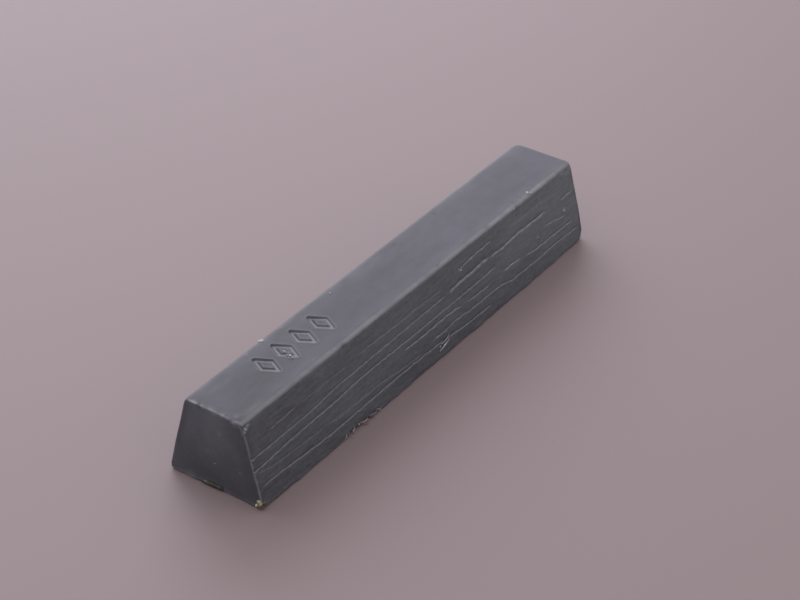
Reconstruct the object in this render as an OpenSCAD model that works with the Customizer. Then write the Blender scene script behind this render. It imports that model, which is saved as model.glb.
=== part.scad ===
// A furniture repair wax stick: one tapered bar cast in an open mould, with the
// crumbs, smears and shavings that cling to it. The stick lies on its wide base,
// with X along its length, the marked end at -X and the origin under its centre.

/* [Bar] */
// Length of the bar at its base
bar_length = 80; // [60:1:120]
// Width of the base, which was the open side of the mould
base_width = 15.7; // [12.5:0.1:20]
// Width of the top, which was the floor of the mould
top_width = 9.75; // [9:0.05:12]
// Height of the bar
bar_height = 12.6; // [8:0.1:16]
// How far each end leans in from base to top, so the bar slips out of its mould
end_lean = 0.25; // [0:0.05:1]
// Radius of the edges round the top
top_edge_radius = 0.9; // [0.4:0.1:1.2]
// Radius of the edges round the base
base_edge_radius = 0.4; // [0.3:0.1:1.2]

/* [Marks] */
// Number of recessed lozenges in the top, near one end
mark_count = 4; // [1:1:6]
// Distance from one lozenge to the next
mark_pitch = 4; // [3.6:0.1:6]
// From the marked end to the centre of the first lozenge
mark_start = 12.2; // [6:0.1:20]
// Size of a lozenge along the bar
mark_length = 3; // [2.6:0.1:3.4]
// Size of a lozenge across the bar
mark_width = 5.5; // [4:0.1:5.6]
// How far the row of lozenges lies off the centre line, towards +Y
mark_offset = 0.5; // [0:0.1:0.5]
// Width of the groove that draws a lozenge
groove_width = 0.7; // [0.4:0.05:0.8]
// Depth of the groove
groove_depth = 0.3; // [0.2:0.05:0.8]

/* [Side shaving] */
// From the marked end to the shaving that is scuffed up on the -Y side
shaving_start = 41.4; // [20:0.1:50]
// Height of the shaving's foot above the base, along the slope
shaving_rise = 1.3; // [1:0.1:3]
// Length of the shaving
shaving_length = 2.6; // [1.5:0.1:4]
// Width of the shaving, up the slope
shaving_width = 1.1; // [0.6:0.1:2]
// How far the shaving stands off the side
shaving_lift = 0.35; // [0.2:0.05:0.6]

/* [Base flakes] */
// From the marked end to the first flake of flash along the -Y edge of the base
flake_start = 16.8; // [10:0.1:25]
// Length of the stretch of edge that holds the flakes
flake_run = 9.8; // [8:0.1:20]
// How far the longest flake reaches out from the base
flake_reach = 0.5; // [0.3:0.05:1]
// Thickness of the flash
flake_thickness = 0.2; // [0.15:0.05:0.4]

/* [Clinging bits] */
// Width of the crumb at the -Y corner of the marked end
crumb_width = 1.5; // [0.8:0.1:2]
// Height of that crumb
crumb_height = 1.2; // [0.6:0.1:1.6]
// How far that crumb stands out from the end
crumb_reach = 0.3; // [0.2:0.05:0.8]
// Length of the smear along the foot of the marked end
smear_length = 3.4; // [1.6:0.1:4.4]
// Height of the smear
smear_height = 0.5; // [0.4:0.05:1]
// How far the smear stands out from the end
smear_reach = 0.2; // [0.15:0.01:0.4]
// Width of the largest speck on the top and the side
speck_size = 0.8; // [0.4:0.05:0.9]

/* [Hidden] */
edge_facets = 32;
grain_facets = 7;
// One overrun for every cut that must break through a surface
overrun = 0.5;

// The bar's sharp form, before its edges are rounded
half_length = bar_length / 2;
half_base = base_width / 2;
half_top = top_width / 2;
side_lean = atan2(half_base - half_top, bar_height);
end_tilt = atan2(end_lean, bar_height);
side_slope = bar_height / cos(side_lean);
function half_length_at(z) = half_length - end_lean * z / bar_height;
function half_width_at(z) = half_base - (half_base - half_top) * z / bar_height;

// The lozenge's half sizes, and how far its centre lies from its edges
mark_half = [mark_length / 2, mark_width / 2];
mark_apothem = mark_half.x * mark_half.y / norm(mark_half);
first_mark_x = mark_start - half_length;
// The inner lozenge is the outer one drawn in by the width of the groove
inner_share = 1 - groove_width / mark_apothem;
groove_middle = mark_half * (1 + inner_share) / 2;

// Grains of the crumb: place across it, height of the middle, and size
crumb_shares = [[0.18, 0.6, 0.8], [0.62, 0.72, 0.64], [0.86, 0.44, 0.5]];
// Lobes of the smear: place across the base from +Y, and length
smear_shares = [[0.4, 0.56], [0.49, 0.68]];
// Height of the middle of the smear, in its own heights
smear_middle_share = 0.9;
// Each flake: its start and its length as shares of the run, then how far along
// its length its tip lies, and its reach as a share of the longest reach
flake_shares = [
    [0.00, 0.18, 0.55, 0.55],
    [0.24, 0.20, 0.30, 1.00],
    [0.50, 0.14, 0.60, 0.70],
    [0.76, 0.24, 0.40, 0.45]
];
// Outline of the shaving, in its length and width, from its lower root
shaving_shares = [[0, 0], [0.42, 0.05], [1, 0.62], [0.88, 1], [0.5, 0.72], [0.06, 0.4]];
// Specks on the top: along the bar, across it from +Y, and size
top_speck_shares = [[0.202, 0.07, 0.7], [0.856, 0.93, 0.6], [0.382, 0.12, 0.4]];
// Specks on the -Y side: along the bar, down the slope, and size
side_speck_shares = [[0.615, 0.19, 0.5], [0.95, 0.48, 0.45]];
// Specks in the groove of the second lozenge: along its -X edge towards -Y, and size
groove_speck_shares = [[0.12, 0.6], [0.5, 0.75], [0.74, 0.55]];
// Height of a speck in its own widths, and the most of a groove that one may fill
speck_height_share = 0.7;
groove_fill_share = 0.8;
groove_speck_mark = min(2, mark_count) - 1;

// Ball whose poles and equator lie exactly on its radius
module round_corner(radius) {
    rotate_extrude($fn = edge_facets)
        intersection() {
            circle(radius, $fn = edge_facets);
            translate([0, -radius])
                square([radius, radius * 2]);
        }
}

// Four balls at one height, each touching the sharp form's side and end
module corner_balls(radius, z) {
    x = half_length_at(z) - radius / cos(end_tilt);
    y = half_width_at(z) - radius / cos(side_lean);
    for (sx = [-1, 1], sy = [-1, 1])
        translate([sx * x, sy * y, z])
            round_corner(radius);
}

module plain_bar() {
    hull() {
        corner_balls(top_edge_radius, bar_height - top_edge_radius);
        corner_balls(base_edge_radius, base_edge_radius);
    }
}

// Flat lozenge, with its long diagonal across the bar
module lozenge(half_size) {
    polygon([
        [half_size.x, 0],
        [0, half_size.y],
        [-half_size.x, 0],
        [0, -half_size.y]
    ]);
}

// Groove that draws one lozenge, from the floor of the groove to above the top
module mark_groove() {
    linear_extrude(groove_depth + overrun)
        difference() {
            lozenge(mark_half);
            lozenge(mark_half * inner_share);
        }
}

// Moves a piece to the floor of the groove at one lozenge's centre
module place_mark(i) {
    translate([first_mark_x + i * mark_pitch, mark_offset, bar_height - groove_depth])
        children();
}

module marked_bar() {
    difference() {
        plain_bar();
        for (i = [0 : mark_count - 1])
            place_mark(i)
                mark_groove();
    }
}

// Moves a piece to the -Y side: its X runs along the bar, its Y up the slope, its Z outwards
module on_side(along, down) {
    translate([
        along - half_length,
        -half_top - down * sin(side_lean),
        bar_height - down * cos(side_lean)
    ])
        rotate([90 - side_lean, 0, 0])
            children();
}

// Trims what clings to the bar, so that it meets the wax face to face
module clinging() {
    difference() {
        union()
            children();
        marked_bar();
    }
}

// Angular grain with its middle at the origin
module grain(size) {
    scale(size / 2)
        sphere(1, $fn = grain_facets);
}

module speck(width) {
    grain([width, width, width * speck_height_share]);
}

module wax_bar() {
    color("#4a4b50")
        marked_bar();
}

module corner_crumb() {
    corner_y = base_edge_radius - half_base;
    color("#9c9475")
        clinging()
            for (g = crumb_shares) {
                depth = 2 * g[2] * crumb_reach + base_edge_radius;
                tall = g[2] * crumb_height;
                y = corner_y + crumb_width * (1 / 2 - g[0]);
                translate([base_edge_radius / 2 - half_length, y, max(g[1] * crumb_height, tall / 2)])
                    grain([depth, g[2] * crumb_width, tall]);
            }
}

module end_smears() {
    color("#66675b")
        clinging()
            for (s = smear_shares)
                translate([-half_length, half_base - s[0] * base_width, smear_middle_share * smear_height])
                    grain([2 * smear_reach, s[1] * smear_length, smear_height]);
}

module base_flakes() {
    root_y = base_edge_radius - half_base;
    color("#8c8286")
        clinging()
            for (f = flake_shares) {
                flake_length = f[1] * flake_run;
                translate([flake_start + f[0] * flake_run - half_length, root_y, 0])
                    linear_extrude(flake_thickness)
                        polygon([
                            [0, 0],
                            [f[2] * flake_length, -base_edge_radius - f[3] * flake_reach],
                            [flake_length, 0]
                        ]);
            }
}

module side_shaving() {
    color("#77787c")
        clinging()
            on_side(shaving_start, side_slope - shaving_rise)
                translate([0, 0, -shaving_lift])
                    linear_extrude(shaving_lift * 2)
                        polygon([for (p = shaving_shares) [p.x * shaving_length, p.y * shaving_width]]);
}

module surface_specks() {
    color("#c9c8c6")
        clinging() {
            for (s = top_speck_shares)
                translate([s[0] * bar_length - half_length, half_top - s[1] * top_width, bar_height])
                    speck(s[2] * speck_size);
            for (s = side_speck_shares)
                on_side(s[0] * bar_length, s[1] * side_slope)
                    speck(s[2] * speck_size);
            for (s = groove_speck_shares)
                place_mark(groove_speck_mark)
                    translate([groove_middle.x * (s[0] - 1), -groove_middle.y * s[0], 0])
                        speck(min(s[1] * speck_size, groove_fill_share * groove_width));
        }
}

wax_bar();
corner_crumb();
end_smears();
base_flakes();
side_shaving();
surface_specks();
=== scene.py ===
import math
import random

import bmesh
import bpy
import numpy as np
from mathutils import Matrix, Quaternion, Vector


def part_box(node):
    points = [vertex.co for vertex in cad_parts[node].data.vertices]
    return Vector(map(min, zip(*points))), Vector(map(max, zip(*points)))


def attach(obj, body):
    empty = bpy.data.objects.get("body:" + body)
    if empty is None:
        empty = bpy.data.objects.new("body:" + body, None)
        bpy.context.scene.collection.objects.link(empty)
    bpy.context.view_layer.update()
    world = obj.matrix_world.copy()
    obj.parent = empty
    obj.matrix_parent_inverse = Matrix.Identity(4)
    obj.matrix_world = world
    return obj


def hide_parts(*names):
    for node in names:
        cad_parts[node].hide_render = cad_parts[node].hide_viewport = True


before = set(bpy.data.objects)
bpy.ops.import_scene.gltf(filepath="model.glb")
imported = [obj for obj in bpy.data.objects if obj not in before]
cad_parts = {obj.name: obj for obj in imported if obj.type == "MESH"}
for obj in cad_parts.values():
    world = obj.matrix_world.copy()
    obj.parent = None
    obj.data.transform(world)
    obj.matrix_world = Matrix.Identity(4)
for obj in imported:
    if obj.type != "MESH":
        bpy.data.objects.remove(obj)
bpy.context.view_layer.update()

mm = 0.001
barLow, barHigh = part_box("wax_bar")
barLength = (barHigh.x - barLow.x) / mm  # all lengths below are in millimetres
barHeight = (barHigh.z - barLow.z) / mm
scene = bpy.context.scene
scene.view_settings.view_transform = "Standard"


# Small helpers

def toLinear(hexColour):
    parts = [int(hexColour[i:i + 2], 16) / 255 for i in (1, 3, 5)]
    return tuple(c / 12.92 if c <= 0.04045 else ((c + 0.055) / 1.055) ** 2.4 for c in parts) + (1.0,)


def ease(value, low, high):
    # 0 up to low, 1 from high on, and a smooth slope between them
    t = np.clip((value - low) / (high - low), 0.0, 1.0)
    return t * t * (3.0 - 2.0 * t)


def fade(value, low, high):
    # The other way: 1 up to low, 0 from high on
    return 1 - ease(value, low, high)


def hump(value, start, full, ebb, end):
    # Rises from 0 to 1 between the first two places and falls again between the last two
    return ease(value, start, full) * fade(value, ebb, end)


def ripple(seed, longest, along, waves=6):
    # A smooth wandering line between about -1 and 1, from a few waves
    draw = random.Random(seed)
    total = 0.0
    for wave in range(waves):
        length = longest * draw.uniform(0.35, 1.0)
        total = total + np.sin(along * 2 * math.pi / length + draw.uniform(0, 2 * math.pi))
    return total / (waves / 2)


def patches(seed, sizeU, sizeV, u, v):
    # Soft patches between -1 and 1, each about sizeU by sizeV
    count = 61  # the pattern starts again after this many patches
    lattice = np.random.RandomState(seed).uniform(-1, 1, (count, count))
    u, v = u / sizeU + 20.37, v / sizeV + 20.71  # shifted, so that no line of the lattice is at 0
    cellU, cellV = np.floor(u).astype(int), np.floor(v).astype(int)
    shareU, shareV = ease(u - cellU, 0, 1), ease(v - cellV, 0, 1)
    rows = [[lattice[(cellU + i) % count, (cellV + j) % count] for j in (0, 1)] for i in (0, 1)]
    near, far = [row[0] * (1 - shareV) + row[1] * shareV for row in rows]
    return near * (1 - shareU) + far * shareU


def uneven(v, first, second):
    # A share that swings softly from place to place
    return v["evenShare"] + v["patchShare"] * patches(*v["patch"], first, second)


def choose(obj):
    bpy.ops.object.select_all(action="DESELECT")
    obj.select_set(True)
    bpy.context.view_layer.objects.active = obj


def editMode(obj):
    choose(obj)
    bpy.ops.object.mode_set(mode="EDIT")


def objectMode():
    bpy.ops.object.mode_set(mode="OBJECT")


def pickEdges(obj, test):
    # Selects the edges whose two ends, in millimetres, pass the test
    bpy.ops.mesh.select_all(action="DESELECT")
    bpy.ops.mesh.select_mode(type="EDGE")
    net = bmesh.from_edit_mesh(obj.data)
    for edge in net.edges:
        edge.select = bool(test(edge.verts[0].co / mm, edge.verts[1].co / mm))
    bmesh.update_edit_mesh(obj.data)


def pickFaces(obj, test):
    # Selects the faces whose middle, in millimetres, and normal pass the test
    bpy.ops.mesh.select_all(action="DESELECT")
    bpy.ops.mesh.select_mode(type="FACE")
    net = bmesh.from_edit_mesh(obj.data)
    for face in net.faces:
        face.select = bool(test(face.calc_center_median() / mm, face.normal))
    bmesh.update_edit_mesh(obj.data)


def applyModifier(obj, kind, **settings):
    modifier = obj.modifiers.new("shape", kind)
    for name, value in settings.items():
        setattr(modifier, name, value)
    bpy.context.view_layer.objects.active = obj
    bpy.ops.object.modifier_apply(modifier="shape")


def setLayer(obj, name, values):
    # One number for each point, which the material reads by its name
    layer = obj.data.attributes.new(name, "FLOAT", "POINT")
    layer.data.foreach_set("value", np.asarray(values, np.float32))


# Camera

cameraView = dict(
    lens=107.26, sensor=36.0, distance=337.2, clipNear=10, clipFar=20000,
    target=(2.53, 0.272, 6.2), azimuth=-55.189, elevation=34.231, roll=0.284,
)


def addCamera(v):
    a, e = math.radians(v["azimuth"]), math.radians(v["elevation"])
    back = Vector((math.sin(a) * math.cos(e), -math.cos(a) * math.cos(e), math.sin(e)))
    place = (Vector(v["target"]) + back * v["distance"]) * mm
    turn = (-back).to_track_quat("-Z", "Y") @ Quaternion((0, 0, 1), math.radians(v["roll"]))
    bpy.ops.object.camera_add(location=place, rotation=turn.to_euler())
    camera = bpy.context.object
    camera.name = "viewCamera"
    camera.data.lens = v["lens"]
    camera.data.sensor_width = v["sensor"]
    camera.data.clip_start = v["clipNear"] * mm
    camera.data.clip_end = v["clipFar"] * mm
    scene.camera = camera


addCamera(cameraView)
print("camera placed")


# Materials

def addNode(tree, kind, inputs=None, **settings):
    node = tree.nodes.new("ShaderNode" + kind)
    for name, value in settings.items():
        setattr(node, name, value)
    for name, value in (inputs or {}).items():
        if isinstance(value, bpy.types.NodeSocket):
            tree.links.new(value, node.inputs[name])
        else:
            node.inputs[name].default_value = value
    return node


def newMaterial(name, **shaderValues):
    material = bpy.data.materials.new(name)
    material.use_nodes = True
    tree = material.node_tree
    shader = tree.nodes["Principled BSDF"]
    for socket, value in shaderValues.items():
        shader.inputs[socket].default_value = value
    return material, tree, shader


# Floor, lamps and world

stageValues = dict(
    floorColour="#a2959b", floorSize=6000, floorRoughness=0.6, floorIor=1.45,
    lamps=[  # name, place, side of the square, power in watts
        ("tallSoftbox", (130, 450, 420), 520, 1.03),
        ("lowSoftbox", (420, 420, 240), 480, 1.95),
    ],
    lampColour="#f7f8ff", worldColour="#fff3ef", worldStrength=0.56,
)


def addStage(v):
    bpy.ops.object.select_all(action="DESELECT")
    bpy.ops.mesh.primitive_plane_add(size=v["floorSize"] * mm, location=(0, 0, 0))
    floor = bpy.context.object
    floor.name = "studioFloor"
    # Matte laminate: plain and pale, so that the bar's soft shadow shows on it
    material, tree, shader = newMaterial("laminateFloor", Roughness=v["floorRoughness"], IOR=v["floorIor"])
    shader.inputs["Base Color"].default_value = toLinear(v["floorColour"])
    floor.data.materials.append(material)

    for name, place, size, power in v["lamps"]:  # both stand behind the bar and face it
        bpy.ops.object.light_add(type="AREA", location=Vector(place) * mm)
        lamp = bpy.context.object
        lamp.name = name
        lamp.rotation_euler = (-Vector(place)).to_track_quat("-Z", "Y").to_euler()
        lamp.data.shape = "SQUARE"
        lamp.data.size = size * mm
        lamp.data.energy = power
        lamp.data.color = toLinear(v["lampColour"])[:3]

    world = bpy.data.worlds.new("studioWorld")
    world.use_nodes = True
    background = world.node_tree.nodes["Background"]
    background.inputs["Color"].default_value = toLinear(v["worldColour"])
    background.inputs["Strength"].default_value = v["worldStrength"]
    scene.world = world


addStage(stageValues)
print("floor, lamps and world placed")


# The wax bar

barShape = dict(
    baseWidth=15.72, topWidth=9.75, endLean=0.235,
    # How far each rounding reaches from its sharp edge, the uprights with the signs of X and Y
    topSide=0.71, topEnd=0.48, baseSide=0.46, baseEnd=0.36, edgeSegments=8,
    uprights=[((-1, -1), 0.48), ((-1, 1), 0.5), ((1, -1), 0.42), ((1, 1), 0.6)],
    # Cuts of the net along the bar, up it and across it, then the finer ones round the marks
    columns=(81, 1), rows=(78, 1), across=(31,), markCuts=3, markMargin=(1.0, 0.6),
    longEdge=20, shortEdge=5, flatTop=0.99,
)
marks = dict(
    count=4, start=12.2, pitch=4.0, length=3.0, width=5.5, offset=0.5,
    groove=0.7, depth=0.25, wall=0.17, shallowShare=0.4, shallowRun=(-0.5, 0.8),
    rough=0.2, roughSeed=31, roughSize=(0.9, 0.9),
    lip=0.03, lipPlace=0.12, lipWidth=0.15, lipInside=0.1,
    floorPaintedLight=0.42, floorFade=(-0.08, 0.04), lipPaintedHighlight=0.12, lipHighlightInside=0.05,
)
halfLength = barLength / 2
halfTop = barShape["topWidth"] / 2
halfBase = barShape["baseWidth"] / 2
sideLean = math.atan2(halfBase - halfTop, barHeight)
sideSlope = barHeight / math.cos(sideLean)


def halfWidthAt(z):
    return halfBase - (halfBase - halfTop) * z / barHeight


def downSide(z):
    # The way down a long side's slope from its top edge
    return (barHeight - z) / math.cos(sideLean)


def markCentre(i):
    return marks["start"] + i * marks["pitch"] - halfLength, marks["offset"]


def modelBar(v):
    bpy.ops.object.select_all(action="DESELECT")
    size = Vector((barLength, v["baseWidth"], barHeight)) * mm
    bpy.ops.mesh.primitive_cube_add(size=1, location=(0, 0, barHeight / 2 * mm), scale=size)
    bar = bpy.context.object
    bar.name = "waxBar"
    bpy.ops.object.transform_apply(location=True, rotation=True, scale=True)
    editMode(bar)
    pickFaces(bar, lambda centre, normal: normal.z > v["flatTop"])  # the mould narrows to its floor
    narrow = (1 - 2 * v["endLean"] / barLength, v["topWidth"] / v["baseWidth"], 1)
    bpy.ops.transform.resize(value=narrow)
    middle = barHeight / 2

    def runsAlong(a, b):
        return abs(a.x - b.x) > middle

    def upright(signX, signY):
        return lambda a, b: (a.z - middle) * (b.z - middle) < 0 and a.x * signX > 0 and a.y * signY > 0
    edgeKinds = [
        (v["topSide"], lambda a, b: min(a.z, b.z) > middle and runsAlong(a, b)),
        (v["topEnd"], lambda a, b: min(a.z, b.z) > middle and not runsAlong(a, b)),
        (v["baseSide"], lambda a, b: max(a.z, b.z) < middle and runsAlong(a, b)),
        (v["baseEnd"], lambda a, b: max(a.z, b.z) < middle and not runsAlong(a, b)),
    ]
    edgeKinds += [(reach, upright(*signs)) for signs, reach in v["uprights"]]
    widest = max(reach for reach, test in edgeKinds)
    for reach, test in edgeKinds:
        pickEdges(bar, test)
        bpy.ops.transform.edge_bevelweight(value=reach / widest)
    objectMode()
    applyModifier(bar, "BEVEL", limit_method="WEIGHT", width=widest * mm, segments=v["edgeSegments"])
    gridBar(bar, v)
    return bar


def gridBar(bar, v):
    # A fine net of quads: close rows down the sides, for the fold lines that run along them
    editMode(bar)
    spans = [  # axis, the bar's size that way, the shortest edge to cut, then the cuts
        (0, barLength, v["longEdge"], v["columns"]),
        (2, barHeight, v["shortEdge"], v["rows"]),
        (1, halfTop * 2, v["shortEdge"], v["across"]),
    ]
    for axis, span, least, cuts in spans:
        for cut in cuts:
            # An edge is cut where it mostly runs along the axis
            pickEdges(bar, lambda a, b: abs(a[axis] - b[axis]) > max(least, 0.7 * (a - b).length))
            bpy.ops.mesh.subdivide(number_cuts=cut)
            least = 0.6 * span / (cut + 1)  # a little less than the pieces that it leaves
    first, last = markCentre(0)[0], markCentre(marks["count"] - 1)[0]
    reachX, reachY = marks["length"] / 2 + v["markMargin"][0], marks["width"] / 2 + v["markMargin"][1]

    def nearMarks(centre, normal):
        along = first - reachX < centre.x < last + reachX
        return normal.z > v["flatTop"] and along and abs(centre.y - marks["offset"]) < reachY
    pickFaces(bar, nearMarks)
    bpy.ops.mesh.subdivide(number_cuts=v["markCuts"])
    objectMode()
    print("bar net:", len(bar.data.vertices), "points")


# Fold lines on the side in the photo: strength, half width, then points along the side
# from the marked end and down its slope from the top, all in millimetres
foldLines = [
    (0.55, 0.12, [(4.5, 3.4), (8, 3.25), (10.5, 3.2)]),
    (0.30, 0.12, [(11.5, 3.15), (18, 3.2), (22, 3.2)]),
    (0.50, 0.115, [(23.5, 3.1), (29, 3.05), (35, 3.25), (38, 3.15), (42.5, 3.3), (45, 3.5)]),
    (1.15, 0.115, [(49.5, 2.5), (51.5, 2.3), (53, 2.2), (57.5, 2.1)]),
    (0.66, 0.12, [(0, 5.45), (7.5, 5.4), (14, 5.3), (17, 5), (19.5, 4.85), (25, 4.8), (35, 4.7),
                  (45, 4.6)]),
    (1.12, 0.19, [(45.5, 4.7), (48, 4.35), (52.5, 4.35), (54, 4.1), (56.5, 4.2)]),
    (1.2, 0.155, [(56, 4.3), (60, 4.4), (63, 4.1), (67.5, 4.2), (71.5, 4.2)]),
    (1.0, 0.115, [(75.2, 4.35), (78.8, 4.25)]),
    (0.72, 0.12, [(0, 7.25), (3, 7.1), (7.5, 6.85), (12.5, 6.75), (19, 6.65), (22.5, 6.35), (28, 6.3),
                  (35, 6.45), (44, 6.4), (54, 6.4), (57.5, 6.2)]),
    (0.60, 0.125, [(69.8, 6.3), (71.2, 6.2), (72.7, 6.5), (74.3, 6.8), (76.5, 7.3)]),
    (0.24, 0.25, [(61.5, 2.2), (66, 2.3), (70, 2.35), (73.3, 2.6), (75.5, 2.8)]),
    (0.32, 0.125, [(0.5, 7.6), (2.5, 8), (4.5, 8.35), (10, 8.6), (15, 8.85)]),
    (0.34, 0.125, [(15.5, 8.9), (18.5, 9.1), (28, 9.2), (32.5, 9.7), (35, 9.85), (37.5, 9.8)]),
    (0.80, 0.12, [(40, 9.25), (42.5, 9.4), (46.5, 9.1), (49.5, 9.45), (56.5, 9.45), (58.5, 9.6),
                  (60, 10.1), (61.5, 10.3)]),
    (0.76, 0.12, [(59.5, 10.1), (67.5, 10.25), (71.5, 10.1), (77.5, 10.35), (79.3, 10.4)]),
    (0.76, 0.12, [(1, 9.85), (5, 9.85), (9, 10.1), (15, 10.4), (22.5, 10.4), (30, 10.3), (37.5, 10.35),
                  (42.6, 10.5)]),
    (0.80, 0.12, [(43.2, 10.55), (44.5, 10.7), (47.5, 10.95), (53, 11.1), (55, 11.2)]),
    (1.03, 0.115, [(33.5, 7.45), (38, 7.6), (44, 7.5), (46, 7.55), (48, 7.85)]),
    (0.89, 0.115, [(49, 7.9), (52.5, 8.1), (55.5, 8.1)]),
    (1.45, 0.12, [(58.5, 7.85), (61, 7.85), (63.5, 7.95)]),
    (0.92, 0.12, [(64.5, 8.1), (66, 8.45), (69.5, 8.6), (73.5, 8.6), (77.8, 8.7)]),
]
otherFolds = dict(
    seed=5, levels=(2.2, 4.0, 5.6, 7.2, 8.9, 10.4), start=(0, 4), shortest=8, stretch=(14, 46),
    endGap=(0, 3), levelSwing=0.3, step=(3, 7), drift=0.28, strength=(0.4, 1.0), halfWidth=(0.1, 0.15),
    gap=(0.5, 5),
)


def otherSideLines(v):
    # Fold lines of the same kind for the side that the photo doesn't show
    draw = random.Random(v["seed"])
    lines = []
    for level in v["levels"]:
        along = draw.uniform(*v["start"])
        while along < barLength - v["shortest"]:
            stretch = draw.uniform(*v["stretch"])
            end = min(along + stretch, barLength - draw.uniform(*v["endGap"]))
            down = level + draw.uniform(-v["levelSwing"], v["levelSwing"])
            path = []
            here = along
            while here < end:
                path.append((here, down))
                here += draw.uniform(*v["step"])
                down += draw.uniform(-v["drift"], v["drift"])
            path.append((end, down))
            lines.append((draw.uniform(*v["strength"]), draw.uniform(*v["halfWidth"]), path))
            along = end + draw.uniform(*v["gap"])
    return lines


longSides = [  # sign of Y, face, fold lines, first seed of their ripples
    (-1, "front", foldLines, 100),
    (1, "back", otherSideLines(otherFolds), 300),
]
# The pale part is a painted highlight where a fold's lip catches the light. The dark part is painted shade
# in its hollow
folds = dict(  # places and widths of the lip, the pale part and the dark part: in half widths of a line
    depth=0.05, usualHalfWidth=0.1, fade=1.2, smoothing=(-1.0, -0.5, 0, 0.5, 1.0),
    wobble=0.05, wobbleLength=3.5, swell=0.25, swellLength=2.6, nearAlong=1, nearDown=1.5,
    lip=0.35, lipPlace=1.8, lipWidth=1.2,
    paleShare=0.57, palePlace=0.35, paleWidth=0.9, darkShare=0.32, darkPlace=-1.7, darkWidth=1.0,
    evenShare=0.78, swellSeed=50,
    patches=[(90, 0.24, 1.9), (130, 0.1, 0.9)],  # seed, share, length
)
rowPull = dict(
    strength=4.0, reach=0.24, fade=4.0, step=0.5, samples=1200, facing=(0.3, 0.8), flatness=0.03,
)


def foldCentre(along, number, path, seed):
    places, levels = zip(*path)
    steps = folds["smoothing"]
    centre = sum(np.interp(along + step, places, levels) for step in steps) / len(steps)
    return centre + folds["wobble"] * ripple(seed + number, folds["wobbleLength"], along)


def drawRows(along, down, lines, seed):
    # Gathers the rows of the net round the fold lines and makes them follow each line
    top, bottom = down.min(), down.max()
    levels = np.linspace(top, bottom, rowPull["samples"])
    posts = np.arange(0, barLength + rowPull["step"], rowPull["step"])
    density = np.ones((len(posts), len(levels)))
    for number, (strength, halfWidth, path) in enumerate(lines):
        centre = foldCentre(posts, number, path, seed)[:, None]
        first, last = path[0][0], path[-1][0]
        pull = hump(posts, first - rowPull["fade"], first, last, last + rowPull["fade"])
        ridge = np.exp(-((levels[None, :] - centre) / rowPull["reach"]) ** 2)
        density = np.maximum(density, 1 + pull[:, None] * rowPull["strength"] * ridge)
    total = np.cumsum(density, axis=1)
    total = (total - total[:, :1]) / (total[:, -1:] - total[:, :1])
    share = (down - top) / (bottom - top)
    moved = down.copy()
    slot = np.clip(along / rowPull["step"], 0, len(posts) - 1.001)  # stays short of the last post
    for post in range(len(posts) - 1):
        here = (slot >= post) & (slot < post + 1)
        between = slot[here] - post
        before = np.interp(share[here], total[post], levels)
        after = np.interp(share[here], total[post + 1], levels)
        moved[here] = before * (1 - between) + after * between
    return moved


def gatherRows(place, normal):
    # Slides the net up and down both long sides, but not round their edges
    leanY, leanZ = math.cos(sideLean), math.sin(sideLean)
    least, full = rowPull["facing"]
    for side, face, lines, seed in longSides:
        facing = normal @ np.array((0, side * leanY, leanZ))
        downhill = np.abs(normal @ np.array((0, side * leanZ, -leanY)))
        rows = (facing > least) & (downhill < rowPull["flatness"])
        before = downSide(place[rows, 2])
        moved = drawRows(place[rows, 0] + halfLength, before, lines, seed) - before
        moved *= ease(facing[rows], least, full)
        place[rows, 1] += side * moved * leanZ
        place[rows, 2] -= moved * leanY


def foldShape(along, down, lines, seed):
    # A crease with a soft lip below it: a painted highlight on the lip, painted shade in the hollow above it
    v = folds
    push = np.zeros_like(along)
    paintedLightAndPaleSpecks = np.zeros_like(along)
    for number, (strength, halfWidth, path) in enumerate(lines):
        heights = [level for place, level in path]
        first, last = path[0][0], path[-1][0]
        near = (along > first - v["nearAlong"]) & (along < last + v["nearAlong"])
        near &= (down > min(heights) - v["nearDown"]) & (down < max(heights) + v["nearDown"])
        a, d = along[near], down[near]
        ends = fade(a, last - v["fade"], last)
        if first > 0:
            ends = ends * ease(a, first, first + v["fade"])
        width = halfWidth * (1 + v["swell"] * ripple(seed + v["swellSeed"] + number, v["swellLength"], a))
        off = (d - foldCentre(a, number, path, seed)) / width
        crease = v["lip"] * np.exp(-((off - v["lipPlace"]) / v["lipWidth"]) ** 2) - np.exp(-off ** 2)
        push[near] += v["depth"] * strength * ends * crease * halfWidth / v["usualHalfWidth"]
        patchy = v["evenShare"]
        for firstSeed, share, length in v["patches"]:
            patchy = patchy + share * ripple(seed + firstSeed + number, length, a)
        glow = v["paleShare"] * np.exp(-((off - v["palePlace"]) / v["paleWidth"]) ** 2)
        shade = v["darkShare"] * np.exp(-((off - v["darkPlace"]) / v["darkWidth"]) ** 2)
        tone = (glow - shade) * strength * ends * patchy
        paintedLightAndPaleSpecks[near] = np.where(np.abs(tone) > np.abs(paintedLightAndPaleSpecks[near]), tone, paintedLightAndPaleSpecks[near])
    return push, paintedLightAndPaleSpecks
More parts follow.
